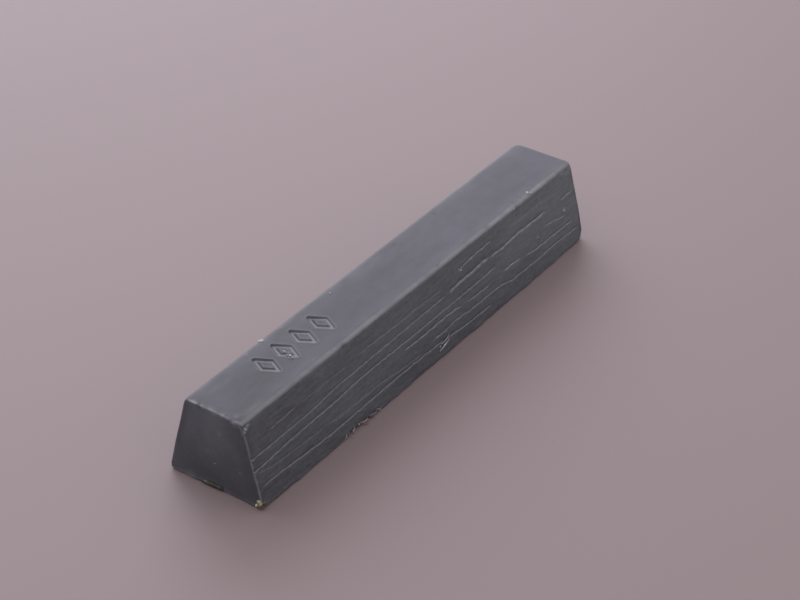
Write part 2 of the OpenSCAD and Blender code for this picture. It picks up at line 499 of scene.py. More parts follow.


# Nicks, pits and grains cast or pressed into the bar: place in millimetres from the marked
# end's corner, how far they reach, how deep they go (minus stands proud), how pale they are
# (minus is darker: in a sunk pit, that is painted shade in its hollow)
sidePits = [  # along, down the slope
    ((0.45, 0.6), 0.35, 0.2, -0.6), ((0.72, 1.0), 0.34, -0.07, 0.9), ((0.4, 1.35), 0.26, -0.04, 0.8),
    ((1.15, 0.7), 0.26, -0.03, 0.6), ((68.5, 7.65), 0.5, 0.16, -0.35),
    ((68.5, 7.15), 0.32, -0.04, 0.6), ((76, 6.1), 0.4, -0.06, 0.35), ((74.5, 5.9), 0.3, 0.08, 0.1),
    ((77.2, 0.7), 0.5, 0.15, 0.3), ((78.2, 1.2), 0.5, 0.06, 0.3), ((62.5, 11.6), 0.35, 0.08, 0.1),
    ((36.2, 9.1), 0.3, 0.06, 0.15), ((49.2, 2.75), 0.22, -0.06, 0.8),
]
topPits = [  # along, in from the +Y edge
    ((45.6, 1.45), 0.4, 0.05, -0.25), ((55.8, 1.4), 0.42, 0.05, -0.2), ((45.0, 9.35), 0.4, 0.08, -0.35),
    ((75.2, 1.8), 0.35, 0.03, -0.15), ((65, 8.9), 0.3, 0.03, -0.15), ((8.2, 0.3), 0.45, -0.02, 0.35),
    ((17, 8.5), 0.35, 0.05, 0.15), ((30.6, 0.9), 0.3, 0.06, 0.2), ((61.5, 5.2), 0.35, 0.04, 0.05),
    ((12.6, 0.5), 0.5, 0.06, 0.3), ((20.5, 0.5), 0.5, 0.05, 0.25), ((1.0, 8.2), 0.6, -0.03, 0.25),
]
endPits = [  # across from the +Y base corner, down from the top
    ((12.3, 8.3), 0.35, -0.03, 0.12), ((8.7, 3.4), 0.6, 0.02, 0.1), ((6.6, 7.0), 0.7, 0.02, 0.06),
    ((4.2, 5.6), 0.3, 0.03, -0.1),
]
# The pale scuffs on the marked end's top edge and by its -Y corner add to the painted highlight there. A
# dark one in a dent is painted shade
scuffs = [  # place in the part's frame, then as above
    ((-39.78, -3.4, 12.4), 0.5, -0.02, 0.4), ((-39.78, -2.3, 12.5), 0.45, 0.02, 0.3),
    ((-39.8, -1.4, 12.45), 0.4, 0.03, 0.2), ((-39.85, -3.5, 12.0), 0.8, 0, 0.18),
    ((-39.76, -4.15, 12.35), 0.4, 0, 0.35), ((-39.8, -4.45, 11.95), 0.4, 0, 0.32),
    ((-39.82, -4.72, 11.5), 0.4, 0, 0.3), ((-39.84, -4.95, 11.0), 0.4, 0, 0.2),
    ((-39.72, -4.68, 12.2), 0.35, 0.08, -0.5), ((-39.65, -4.95, 12.35), 0.4, -0.02, 0.4),
    ((-39.95, 4.2, 0.35), 1.1, 0.06, 0.12), ((-39.95, 5.3, 0.3), 0.9, 0.09, 0.05),
    ((-39.9, 6.7, 0.4), 0.6, 0.07, 0), ((-39.9, 7.4, 0.6), 0.4, 0.08, -0.3),
    ((39.6, -4.7, 12.0), 0.7, 0.06, -0.2), ((39.1, -5.2, 11.9), 0.45, -0.02, 0.4),
]
nicks = dict(
    seed=17, count=70, reach=(0.3, 0.75), depth=(-0.02, 0.05), pale=(-0.25, 0.2),
    run=39, inset=(-0.2, 0.3), drop=(0, 0.4), endEvery=7, endInset=(0.1, 0.5), endRun=4.5,
    patch=(61, 0.5, 0.5), evenShare=0.8, patchShare=0.4,
)


def edgeNicks(v):
    # Small knocks along both long top edges, and a few on the marked end's top edge
    draw = random.Random(v["seed"])
    found = []
    for i in range(v["count"]):
        x = draw.uniform(-v["run"], v["run"])
        y = draw.choice((-1, 1)) * (halfTop - draw.uniform(*v["inset"]))
        if i % v["endEvery"] == 0:
            x = -halfLength + draw.uniform(*v["endInset"])
            y = draw.uniform(-v["endRun"], v["endRun"])
        place = (x, y, barHeight - draw.uniform(*v["drop"]))
        found.append((place, draw.uniform(*v["reach"]), draw.uniform(*v["depth"]), draw.uniform(*v["pale"])))
    return found


def scuffShape(x, y, z):
    push = np.zeros_like(x)
    paintedLightAndPaleSpecks = np.zeros_like(x)
    for place, reach, depth, pale in scuffs + edgeNicks(nicks):
        away = np.sqrt((x - place[0]) ** 2 + (y - place[1]) ** 2 + (z - place[2]) ** 2) / reach
        bowl = np.clip(1 - away ** 2, 0, 1)
        push -= depth * bowl ** 2
        paintedLightAndPaleSpecks = paintedLightAndPaleSpecks + pale * bowl
    return push, paintedLightAndPaleSpecks * uneven(nicks, x + y, z)


def pitShape(first, second, pits):
    push = np.zeros_like(first)
    paintedLightAndPaleSpecks = np.zeros_like(first)
    for (a, b), reach, depth, pale in pits:
        away = np.hypot(first - a, second - b) / reach
        bowl = np.clip(1 - away ** 2, 0, 1) ** 2
        push -= depth * bowl
        paintedLightAndPaleSpecks = paintedLightAndPaleSpecks + pale * bowl
    return push, paintedLightAndPaleSpecks


def markShape(x, y):
    # Sunk lozenge outlines with steep walls and a soft raised lip, as a stamp leaves them in wax
    v = marks
    halfX, halfY, halfGroove = v["length"] / 2, v["width"] / 2, v["groove"] / 2
    apothem = halfX * halfY / math.hypot(halfX, halfY)
    middle = 1 - halfGroove / apothem
    cornerX, cornerY = halfX * middle, halfY * middle
    push = np.zeros_like(x)
    paintedLightAndPaleSpecks = np.zeros_like(x)
    for i in range(v["count"]):
        centreX, centreY = markCentre(i)
        px, py = np.abs(x - centreX), np.abs(y - centreY)
        t = (px - cornerX) * -cornerX + py * cornerY
        t = np.clip(t / (cornerX ** 2 + cornerY ** 2), 0, 1)
        outside = np.hypot(px - cornerX * (1 - t), py - cornerY * t) - halfGroove  # from the groove's edge
        sunk = fade(outside, -v["wall"], 0)
        lip = np.exp(-((outside - v["lipPlace"]) / v["lipWidth"]) ** 2)
        deep = v["shallowShare"] + (1 - v["shallowShare"]) * ease((y - centreY) / halfY, *v["shallowRun"])
        rough = 1 + v["rough"] * patches(v["roughSeed"] + i, *v["roughSize"], x, y)
        push -= v["depth"] * deep * rough * sunk
        push += v["lip"] * lip * (outside > -v["lipInside"])
        # Painted light: the groove floors are painted pale against the shade that falls in them, and the
        # lips get a painted highlight
        floor = fade(outside, *(step - v["wall"] for step in v["floorFade"]))
        paintedLightAndPaleSpecks = paintedLightAndPaleSpecks + v["floorPaintedLight"] * floor + v["lipPaintedHighlight"] * lip * (outside > -v["lipHighlightInside"])
    return push, paintedLightAndPaleSpecks


def castDetail(place, normal, on):
    # All that was cast or pressed into the faces: how far it moves them, and how pale it is, with the light
    # and shade painted on its folds, marks and pits
    x, y, z = place.T
    along, down = x + halfLength, downSide(z)
    details = [(on[face], foldShape(along, down, lines, seed)) for side, face, lines, seed in longSides]
    details += [
        (on["front"], pitShape(along, down, sidePits)),
        (on["top"], pitShape(along, halfTop - y, topPits)),
        (on["near"], pitShape(halfBase - y, barHeight - z, endPits)),
        (normal[:, 2] > faceEdges["marks"], markShape(x, y)),
        (1.0, scuffShape(x, y, z)),
    ]
    return [sum(weight * shape[i] for weight, shape in details) for i in (0, 1)]


casting = dict(  # a patch has its seed, then its size each way
    endSink=0.12, baseSink=0.12, evenShare=0.8, patchShare=0.2, patch=(9, 12, 5),
    sideWave=0.03, sidePatch=(11, 16, 4), topWave=0.015, topPatch=(12, 14, 5),
    ragged=0.15, raggedFade=(0.25, 0.9), raggedLimits=(-0.3, 0.6), raggedShift=0.1,
    sideLumps=(41, 1.5, 3.0), endLumps=(42, 0.8, 3.0),
)
wornCorners = [  # signs of X and Y, whether at the top, how far the wear reaches in and how deep it goes
    ((-1, 1), True, 1.3, 0.1), ((1, 1), True, 1.4, 0.14), ((1, -1), True, 1.0, 0.06),
    ((-1, -1), True, 1.8, 0.16), ((-1, 1), False, 1.0, 0.22), ((1, 1), False, 1.0, 0.2),
    ((1, -1), False, 1.5, 0.3),
]


def castFaults(place, on):
    v = casting
    x, y, z = place.T
    sides, ends = on["front"] + on["back"], on["near"] + on["far"]

    # Wax shrinks as it sets: the ends and the poured base sink a little in the middle
    across = np.clip(1 - (y / halfWidthAt(z)) ** 2, 0, 1)
    upright = np.clip(1 - (2 * z / barHeight - 1) ** 2, 0, 1)
    lengthwise = np.clip(1 - (x / halfLength) ** 8, 0, 1)
    push = -ends * v["endSink"] * np.sqrt(across * upright)
    push -= on["base"] * v["baseSink"] * np.sqrt(across) * lengthwise * uneven(v, x, y)
    push += sides * v["sideWave"] * patches(*v["sidePatch"], x, z)
    push += on["top"] * v["topWave"] * patches(*v["topPatch"], x, y)

    # Handling wears the corners round
    for (signX, signY), atTop, reach, depth in wornCorners:
        level, halfWidth = (barHeight, halfTop) if atTop else (0, halfBase)
        away = np.sqrt((x - signX * halfLength) ** 2 + (y - signY * halfWidth) ** 2 + (z - level) ** 2)
        push -= depth * np.clip(1 - (away / reach) ** 2, 0, 1)

    # The poured edge is ragged, with small lumps of flash round the foot
    foot = fade(z, *v["raggedFade"]) * (1 - on["base"])
    lumps = patches(*v["sideLumps"], x, z) * sides + patches(*v["endLumps"], y, z) * ends
    return push + foot * v["ragged"] * np.clip(lumps - v["raggedShift"], *v["raggedLimits"])


# Painted highlights where the roundings of the edges catch the light
sideEdgeHighlight = dict(  # along the long top edges, up to the middle of their rounding, then a clean drop
    near=0.38, far=0.68, extraNear=0.12, nearRun=(3, 7), farFade=0.4, farRun=(75, 78.5), backShare=0.12,
    turn=(0.0, 0.26, 0.5, 0.8), crest=0.15, crestTurn=(0.2, 0.45), high=(0.8, 1.3),
)
endEdgeHighlight = dict(  # along the ends' top edges, wider towards the -Y corner
    strength=0.8, farShare=0.35, reach=(0.35, 0.9), turn=(0.44, 0.7), swell=0.18, swellRun=(0.5, 4.0),
    flatShare=0.5, crest=0.6, crestTurn=(0.05, 0.45), evenShare=0.85, patchShare=0.6, patch=(24, 0.45, 0.45),
)
uprightEdgeHighlight = dict(  # down the four corners, on the end's side of the rounding higher up
    strength=0.26, others=0.12, turn=(0.2, 0.42, 0.58, 0.76), top=(0.5, 1.4), foot=(0.3, 1.0),
    lowShift=0.2, lowRun=(2, 7), highShift=0.15, highRun=(9.5, 11.5), highFade=0.7, fadeRun=(1.0, 2.2),
)
shoulderHighlight = dict(  # on the top beside its long edges, in from the edge
    strength=0.06, width=2.8, backSpread=0.5, spreadRun=(0.5, 0.7), startShare=0.3,
    front=1.35, frontSwell=0.8, frontRun=(0.5, 1.1), nearSwell=0.8, nearRun=(5, 9),
    back=1.2, backSwell=1.0, backRun=(0.5, 1.6), evenShare=0.8, patchShare=0.45, patch=(22, 2.5, 0.8),
)
# Painted shade on the +X -Y corner
darkCorner = dict(strength=0.35, reach=(1.0, 0.45), footShare=0.5, fade=(2, 6))
highlightPatches = dict(evenShare=0.9, patches=[(0.16, (21, 1.6, 1.0)), (0.08, (23, 0.7, 0.7))])


def paintEdgeLightAndShade(place, normal, on, paintedLightAndPaleSpecks):
    # Painted highlights on the edges' roundings, where they catch the light, and painted shade on the +X -Y
    # corner
    x, y, z = place.T
    along, lengthShare = x + halfLength, np.clip((x + halfLength) / barLength, 0, 1)
    fromTop, fromEnd, inwards = barHeight - z, halfLength - np.abs(x), halfTop - np.abs(y)
    tilt = np.arctan2(np.abs(normal[:, 1]), normal[:, 2]) / (math.pi / 2 - sideLean)
    tiltEnd = np.arctan2(np.abs(normal[:, 0]), normal[:, 2]) / (math.pi / 2)
    turn = np.arctan2(np.abs(normal[:, 1]), np.abs(normal[:, 0])) / (math.pi / 2)
    high = fade(fromTop, *sideEdgeHighlight["high"])
    patchy = highlightPatches["evenShare"]
    for share, patch in highlightPatches["patches"]:
        patchy = patchy + share * patches(*patch, x + y, z)

    v = sideEdgeHighlight
    side = hump(tilt, *v["turn"]) * high * (1 - on["near"]) * (1 - on["far"])
    side = side * (1 + v["crest"] * ease(tilt, *v["crestTurn"])) * np.where(y < 0, 1, v["backShare"])
    side = side * (v["near"] + (v["far"] - v["near"]) * lengthShare
                   + v["extraNear"] * fade(along, *v["nearRun"]))
    side = side * (1 - v["farFade"] * ease(along, *v["farRun"])) * patchy

    v = endEdgeHighlight
    slip = v["swell"] * ease(-y, *v["swellRun"])
    end = fade(fromEnd, *v["reach"]) * fade(tiltEnd - slip, *v["turn"]) * high
    end = end * (v["flatShare"] + v["crest"] * ease(tiltEnd, *v["crestTurn"]))
    end = end * np.where(x < 0, 1, v["farShare"])
    end = end * uneven(v, y, z) * v["strength"] * patchy

    v = uprightEdgeHighlight
    middle = ease(fromTop, *v["top"]) * ease(z, *v["foot"])
    turned = turn - v["lowShift"] * fade(z, *v["lowRun"]) + v["highShift"] * ease(z, *v["highRun"])
    upright = hump(turned, *v["turn"]) * middle * (1 - v["highFade"] * fade(fromTop, *v["fadeRun"]))
    upright = upright * np.where((x < 0) & (y < 0), v["strength"], v["others"]) * patchy

    v = shoulderHighlight
    spread = 1 + v["backSpread"] * fade(lengthShare, *v["spreadRun"]) * (y > 0)
    shoulder = fade(inwards, v["width"] * spread * v["startShare"], v["width"] * spread)
    front = v["front"] + v["frontSwell"] * fade(inwards, *v["frontRun"])
    front = front + v["nearSwell"] * fade(along, *v["nearRun"])
    back = v["back"] + v["backSwell"] * fade(inwards, *v["backRun"])
    shoulder = on["top"] * shoulder * np.where(y > 0, back, front) * v["strength"] * uneven(v, x, y)

    v = darkCorner
    dark = ease(x, *(halfLength - step for step in v["reach"])) * (y < 0) * (on["top"] < 0.5) * middle
    paintedLightAndPaleSpecks = paintedLightAndPaleSpecks - v["strength"] * dark * (1 - v["footShare"] * ease(z, *v["fade"]))
    palest = np.maximum.reduce([side, end, upright, shoulder])
    return np.where(paintedLightAndPaleSpecks < 0, paintedLightAndPaleSpecks + palest, np.maximum(paintedLightAndPaleSpecks, palest))  # the hollows stay dark


# The film's changes along the bar, up the ends and at the foot of the sides are painted light and shade
filmAndPaintedLight = dict(  # the dull film on the wax: how thick it is, and where that changes
    side=0.38, sideEarly=0.12, earlyRun=(0, 0.4), sideLate=0.3, lateRun=(0.55, 0.95),
    sideFoot=0.05, sideFarFoot=0.27, footRun=(6, 1),
    sideCorner=0.16, cornerRun=(0.4, 2.0), cornerDown=(5, 10),
    top=(0.17, 0.44), topCorner=0.16, topCornerRun=(72, 77), topCornerAcross=(-1, 3),
    end=(0.13, 0.46), backFade=(0.0, 1.6), frontFade=(0.6, 5.4), endRise=(1.2, 9.4),
    endFoot=0.12, endFootRise=(0.6, 2.4), endFootAcross=(-4, 2), endLine=0.24, endLineRise=(0.3, 0.9),
    base=0.35, streak=0.02, patch=0.09,
)
filmPatches = dict(  # share, then seed and size each way
    sideStreaks=[(1, (51, 9.0, 0.22)), (0.6, (52, 4.0, 0.12))],
    topPatches=[(1, (53, 5.0, 2.5)), (0.6, (54, 1.6, 0.9))],
    endPatches=[(0.5, (55, 1.5, 2.5))], baseStreaks=[(1.5, (56, 7.0, 0.35))],
)


def spreadFilmAndPaintedLight(place, on):
    # A dull film lies on the wax, thicker away from the marked end and thin at the foot of the sides.
    # These changes, and its rise up the middle of the ends, are painted light and shade
    v = filmAndPaintedLight
    x, y, z = place.T
    along, down = x + halfLength, downSide(z)
    lengthShare = np.clip(along / barLength, 0, 1)

    def blotches(kind, first, second):
        return sum(share * patches(*patch, first, second) for share, patch in filmPatches[kind])
    side = v["side"] + v["sideEarly"] * ease(lengthShare, *v["earlyRun"])
    side = side + v["sideLate"] * ease(lengthShare, *v["lateRun"])
    side = side + v["streak"] * blotches("sideStreaks", x, down)
    thin = v["sideFoot"] + v["sideFarFoot"] * lengthShare
    side = side - thin * ease(down, v["footRun"][0], sideSlope - v["footRun"][1])
    side = side - v["sideCorner"] * fade(along, *v["cornerRun"]) * fade(down, *v["cornerDown"])

    top = v["top"][0] + (v["top"][1] - v["top"][0]) * lengthShare + v["patch"] * blotches("topPatches", x, y)
    top = top + v["topCorner"] * ease(along, *v["topCornerRun"]) * ease(-y, *v["topCornerAcross"])

    halfWidth = halfWidthAt(z)
    inside = ease(halfWidth - y, *v["backFade"]) * ease(halfWidth + y, *v["frontFade"])
    end = v["end"][0] + (v["end"][1] - v["end"][0]) * inside * ease(z, *v["endRise"])
    end = end + v["endFoot"] * fade(z, *v["endFootRise"]) * ease(y, *v["endFootAcross"])
    end = end + v["endLine"] * fade(z, *v["endLineRise"]) + v["patch"] * blotches("endPatches", y, z)
    base = v["base"] + v["streak"] * blotches("baseStreaks", x, y)

    hazeAndPaintedLight = (on["front"] + on["back"]) * side + on["top"] * top + (on["near"] + on["far"]) * end
    return (hazeAndPaintedLight + on["base"] * base) / np.maximum(sum(on.values()), 0.5)


mould = dict(
    frontPull=0.03, backSpread=0.15, backRun=(0.1, 0.9), endTwist=0.08, twistRun=(0, 6),
    footSink=0.13, sinkRise=(1.0, 2.6), sinkAcross=(-2.2, -1.2, 2.2, 3.2), sinkRun=(0, 3),
    footRise=(0.5, 5.0), footAcross=(5.0, 7.3), footSpread=0.1, spreadRun=(1, 3, 16, 24),
    farFootPull=0.16, pullRun=(66, 79),
    tear=0.55, tearRun=(17.2, 18.2, 23.4, 24.6), tearRise=(0.1, 0.8), tearAcross=(6.2, 7.4),
    evenShare=0.85, patchShare=0.3, patch=(43, 0.9, 3.0),  # of the tear
)


def bendBar(place, moved):
    # The mould was not quite true, and the marked end's foot drew in where wax was wiped on it
    v = mould
    x, y, z = place.T
    along, height = x + halfLength, z / barHeight
    lengthShare = np.clip(along / barLength, 0, 1)
    back = ease(lengthShare, *v["backRun"]) * ease(y, 0, halfTop)
    moved[:, 1] += height * (v["frontPull"] * ease(-y, 0, halfTop) + v["backSpread"] * back)
    moved[:, 0] += height * v["endTwist"] * fade(along, *v["twistRun"]) * np.clip(y / halfTop, -1, 1)
    wiped = fade(z, *v["sinkRise"]) * hump(y, *v["sinkAcross"])
    moved[:, 0] += v["footSink"] * wiped * fade(along, *v["sinkRun"])
    foot = fade(z, *v["footRise"]) * ease(-y, *v["footAcross"])
    pull = v["farFootPull"] * ease(along, *v["pullRun"]) - v["footSpread"] * hump(along, *v["spreadRun"])
    moved[:, 1] += foot * pull

    # Flash tore away from the -Y edge of the base and took a little of the foot with it
    torn = hump(along, *v["tearRun"]) * fade(z, *v["tearRise"]) * ease(-y, *v["tearAcross"])
    moved[:, 1] += v["tear"] * torn * uneven(v, x, z)
    moved[:, 2] = np.maximum(moved[:, 2], 0)
    return moved


faceEdges = dict(upright=(0.4, 0.9), level=(0.5, 0.95), marks=0.9)  # how squarely a point has to face


def readPoints(mesh):
    count = len(mesh.vertices)
    place = np.empty(count * 3)
    mesh.vertices.foreach_get("co", place)
    normal = np.empty(count * 3, np.float32)
    mesh.vertex_normals.foreach_get("vector", normal)
    return place.reshape(-1, 3) / mm, normal.reshape(-1, 3).astype(float)


def facesOf(normal):
    # How much each point lies on each face of the bar, from 0 to 1
    leanY, leanZ = math.cos(sideLean), math.sin(sideLean)
    uphill = normal[:, 2] * leanZ
    outwards = dict(
        near=-normal[:, 0], far=normal[:, 0],
        front=uphill - normal[:, 1] * leanY, back=uphill + normal[:, 1] * leanY,
    )
    on = {face: ease(value, *faceEdges["upright"]) for face, value in outwards.items()}
    on["top"] = ease(normal[:, 2], *faceEdges["level"])
    on["base"] = ease(-normal[:, 2], *faceEdges["level"])
    return on


def sculptBar(bar):
    place, normal = readPoints(bar.data)
    gatherRows(place, normal)
    on = facesOf(normal)
    push, paintedLightAndPaleSpecks = castDetail(place, normal, on)
    push = push + castFaults(place, on)
    paintedLightAndPaleSpecks = paintEdgeLightAndShade(place, normal, on, paintedLightAndPaleSpecks)
    hazeAndPaintedLight = spreadFilmAndPaintedLight(place, on)
    moved = bendBar(place, place + normal * push[:, None])
    bar.data.vertices.foreach_set("co", (moved * mm).ravel())
    # In the first layer, values above 0 are painted highlights and pale specks, and values below 0 are
    # painted shade in hollows
    layers = [  # name, values, least value: a bloom below 0 is a dark hollow
        ("paintedLightAndPaleSpecks", paintedLightAndPaleSpecks, -0.6), ("hazeAndPaintedLight", hazeAndPaintedLight, 0), ("moulded", on["top"], 0),
        ("dragged", on["front"] + on["back"], 0),
    ]
    for name, values, least in layers:
        setLayer(bar, name, np.clip(values, least, 1))
    bar.data.update()


waxLook = dict(
    wax="#444651", filmAndPaintedLight="#7b858e", topFilm="#7e808f", paintedLightAndPaleSpecks="#b8c0ca", paintedShadeColour="#232328",
    patterns=dict(  # size in millimetres, stretch along the bar, detail and roughness of the noise
        cloud=(5.0, 0.4, 6.0, 0.62), streaks=(0.34, 0.1, 3.0, 0.6), crinkles=(0.42, 0.6, 2.0, 0.5),
        grain=(0.36, 1, 3.0, 0.5), waves=(1.6, 1, 2.0, 0.5),
    ),
    shares=dict(cloud=0.14, streaks=0.18, crinkles=0.11, grain=0.06), contrast=(0.25, 0.75),
    heights=dict(waves=0.02, streaks=0.012, crinkles=0.008, grain=0.008), combed=("streaks", "crinkles"),
    roughness=(0.56, 0.68), paleMarkRoughness=0.78, ior=1.44,
)


def blackWaxMaterial(v):
    # Cast wax with carbon black: deep grey under a satin skin, dulled by a film that also carries
    # painted light and shade, with painted highlights on folds and edges and painted shade in hollows
    material, tree, shader = newMaterial("castBlackWax", IOR=v["ior"])
    paintedLightAndPaleSpecks, hazeAndPaintedLight, moulded, dragged = [
        addNode(tree, "Attribute", attribute_name=name).outputs["Fac"]
        for name in ("paintedLightAndPaleSpecks", "hazeAndPaintedLight", "moulded", "dragged")
    ]
    coords = addNode(tree, "TexCoord").outputs["Object"]
    pattern = {}
    for name, (size, stretch, detail, roughness) in v["patterns"].items():
        drawn = addNode(tree, "Mapping", {"Vector": coords, "Scale": (stretch, 1, 1)}).outputs[0]
        pattern[name] = addNode(tree, "TexNoise", {
            "Vector": drawn, "Scale": 1 / (size * mm),
            "Detail": detail, "Roughness": roughness}).outputs["Fac"]
    swing = {}
    for name, share in v["shares"].items():
        swing[name] = addNode(tree, "MapRange", {
            "Value": pattern[name], "From Min": v["contrast"][0], "From Max": v["contrast"][1],
            "To Min": -share, "To Max": share}).outputs[0]

    # How much film covers the wax, its painted light and shade included, combed along the bar on its long
    # sides
    cloudy = hazeAndPaintedLight
    for name in ("cloud", "grain"):
        cloudy = addNode(tree, "Math", {0: cloudy, 1: swing[name]}, operation="ADD").outputs[0]
    combing = addNode(tree, "Math", {
        0: swing["streaks"], 1: swing["crinkles"]}, operation="ADD").outputs[0]
    cover = addNode(tree, "Math", {
        0: combing, 1: dragged, 2: cloudy}, operation="MULTIPLY_ADD", use_clamp=True).outputs[0]

    # Sockets 6 and 7 of a Mix node are its two colours
    dull = addNode(tree, "Mix", {
        "Factor": moulded, 6: toLinear(v["filmAndPaintedLight"]), 7: toLinear(v["topFilm"])}, data_type="RGBA").outputs[2]
    body = addNode(tree, "Mix", {
        "Factor": cover, 6: toLinear(v["wax"]), 7: dull}, data_type="RGBA").outputs[2]
    # Painted highlights and pale specks lighten the wax. Where the same layer is below 0, painted shade
    # darkens it
    paler = addNode(tree, "Mix", {
        "Factor": paintedLightAndPaleSpecks, 6: body, 7: toLinear(v["paintedLightAndPaleSpecks"])}, data_type="RGBA").outputs[2]
    depth = addNode(tree, "Math", {
        0: paintedLightAndPaleSpecks, 1: -1.0}, operation="MULTIPLY", use_clamp=True).outputs[0]
    colour = addNode(tree, "Mix", {
        "Factor": depth, 6: paler, 7: toLinear(v["paintedShadeColour"])}, data_type="RGBA").outputs[2]
    skin = addNode(tree, "MapRange", {
        "Value": cover, "To Min": v["roughness"][0], "To Max": v["roughness"][1]}).outputs[0]
    rough = addNode(tree, "Mix", {"Factor": paintedLightAndPaleSpecks, 2: skin, 3: v["paleMarkRoughness"]}).outputs[0]
    tree.links.new(colour, shader.inputs["Base Color"])
    tree.links.new(rough, shader.inputs["Roughness"])

    # Each relief lies on the one before it. The combed ones keep to the long sides
    relief = {}
    for name, height in v["heights"].items():
        if name in v["combed"]:
            relief["Strength"] = dragged
        relief.update({"Height": pattern[name], "Distance": height * mm})
        relief = {"Normal": addNode(tree, "Bump", relief).outputs[0]}
    tree.links.new(relief["Normal"], shader.inputs["Normal"])
    return material


def finishBar():
    bar = modelBar(barShape)
    sculptBar(bar)
    choose(bar)
    bpy.ops.object.shade_smooth()
    bar.data.materials.append(blackWaxMaterial(waxLook))
    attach(bar, "root")
    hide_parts("wax_bar")
    print("wax bar modelled")


# Loose matter that clings to the bar

grainShape = dict(rounds=3, roughness=0.09, paintedTopLight=0.12)
stripShape = dict(cuts=14, rows=4, smoothing=0.08)
smoothAngle = 50


def addGrain(place, size, turn, shade, seed):
    # A crumb: a ball that is roughened, stretched and turned in edit mode
    bpy.ops.object.select_all(action="DESELECT")
    bpy.ops.mesh.primitive_ico_sphere_add(subdivisions=grainShape["rounds"], radius=0.5 * mm)
    grain = bpy.context.object
    editMode(grain)
    bpy.ops.mesh.select_all(action="SELECT")
    bpy.ops.transform.vertex_random(offset=grainShape["roughness"] * mm, seed=seed)
    bpy.ops.transform.resize(value=size)
    bpy.ops.transform.rotate(value=math.radians(turn), orient_axis="Z", center_override=(0, 0, 0))
    bpy.ops.transform.translate(value=Vector(place) * mm)
    objectMode()
    # Each grain is painted paler towards its top, as painted light from above
    heights = np.array([v.co.z / mm - place[2] for v in grain.data.vertices]) / size[2]
    setLayer(grain, "shade", np.clip(shade + grainShape["paintedTopLight"] * heights, 0, 1))
    return grain


def addGrains(v, grains):
    return [addGrain(*grain, seed=v["firstSeed"] + i) for i, grain in enumerate(grains)]


def roundGrain(place, size, shade):
    return place, (size, size, size), 0, shade


def addStrip(path, widths, facing, shades, thickness=0.06, crown=0.05):
    # A thin curled strip that follows the path, its broad face turned towards facing
    bpy.ops.object.select_all(action="DESELECT")
    cuts, rows = stripShape["cuts"], stripShape["rows"]
    bpy.ops.mesh.primitive_grid_add(x_subdivisions=cuts, y_subdivisions=rows, size=2)
    strip = bpy.context.object
    posts = np.linspace(0, 1, len(path))
    path = np.array(path)
    step = stripShape["smoothing"]

    def pointAt(share):
        return Vector([np.interp(share, posts, path[:, axis]) for axis in range(3)])
    shading = []
    for vertex in strip.data.vertices:
        share, across = (vertex.co.x + 1) / 2, vertex.co.y
        ahead = (pointAt(share + step) - pointAt(share - step)).normalized()
        sideways = ahead.cross(Vector(facing)).normalized()
        halfWidth = np.interp(share, posts, widths) / 2
        lift = Vector(facing) * crown * (1 - across ** 2)
        vertex.co = (pointAt(share) + sideways * across * halfWidth + lift) * mm
        shading.append(np.interp(share, posts, shades))
    setLayer(strip, "shade", shading)
    applyModifier(strip, "SOLIDIFY", thickness=thickness * mm, offset=0)
    applyModifier(strip, "SUBSURF", levels=1, render_levels=1)
    editMode(strip)
    bpy.ops.mesh.select_all(action="SELECT")
    bpy.ops.mesh.normals_make_consistent(inside=False)
    objectMode()
    return strip


def onSide(along, down, out=0.0):
    # A place on the -Y side, or standing off it, just clear of the floor
    y = -halfTop - down * math.sin(sideLean) - out * math.cos(sideLean)
    z = barHeight - down * math.cos(sideLean) + out * math.sin(sideLean)
    return (along - halfLength, y, max(z, 0.03))


sideOut = (0, -math.cos(sideLean), math.sin(sideLean))


def addSideParts(v):
    # The strips and then the round crumbs of a piece that clings to the -Y side
    parts = []
    for path, widths, shades in v["strips"]:
        path = [onSide(*point) for point in path]
        parts.append(addStrip(path, widths, sideOut, shades, v["thickness"], v["crown"]))
    grains = [roundGrain(onSide(*place), size, shade) for place, size, shade in v["bits"]]
    return parts + addGrains(v, grains)


def finishPiece(parts, v, name, material, node):
    bpy.ops.object.select_all(action="DESELECT")
    for part in parts:
        part.select_set(True)
    bpy.context.view_layer.objects.active = parts[0]
    bpy.ops.object.join()
    piece = bpy.context.object
    piece.name = name
    bpy.ops.object.shade_smooth_by_angle(angle=math.radians(smoothAngle))
    piece.data.materials.clear()
    piece.data.materials.append(bitMaterial(material, v))
    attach(piece, "root")
    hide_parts(node)
    print(name, "modelled:", len(piece.data.polygons), "faces")


speckleLook = dict(detail=4.0, contrast=(0.3, 0.7))


